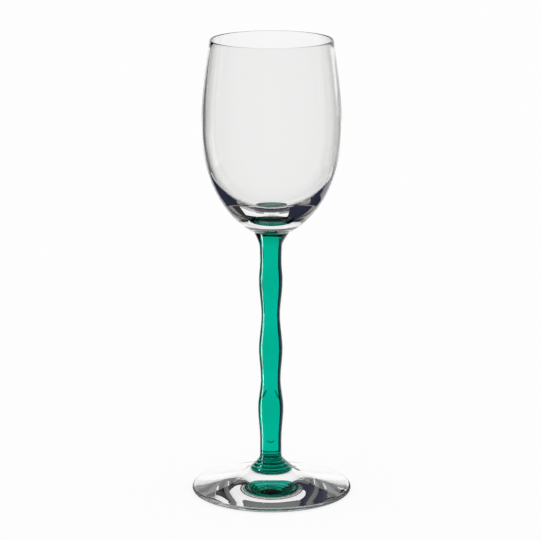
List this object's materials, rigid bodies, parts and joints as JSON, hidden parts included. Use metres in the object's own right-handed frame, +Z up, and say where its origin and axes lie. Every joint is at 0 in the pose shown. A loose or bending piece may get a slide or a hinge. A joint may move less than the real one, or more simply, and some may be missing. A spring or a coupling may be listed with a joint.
{
  "type": "white wine glass",
  "caption": "Stemmed wine glass with a clear tulip-shaped bowl, a solid green stem that swells and narrows, and a clear domed foot.",
  "frame": {"origin": "middle of the foot's underside, on the surface that the glass stands on", "axes": "+Z up along the glass's axis, from the foot to the rim; +X and +Y are any two directions across it, as the glass is round"},
  "size_m": [0.0758, 0.0758, 0.217],
  "materials": {
    "clear_bowl_glass": "polished",
    "green_stem_glass": "polished",
    "clear_foot_glass": "polished"
  },
  "bodies": {
    "root": {"bowl": "clear_bowl_glass", "stem": "green_stem_glass", "foot": "clear_foot_glass"}
  },
  "joints": []
}
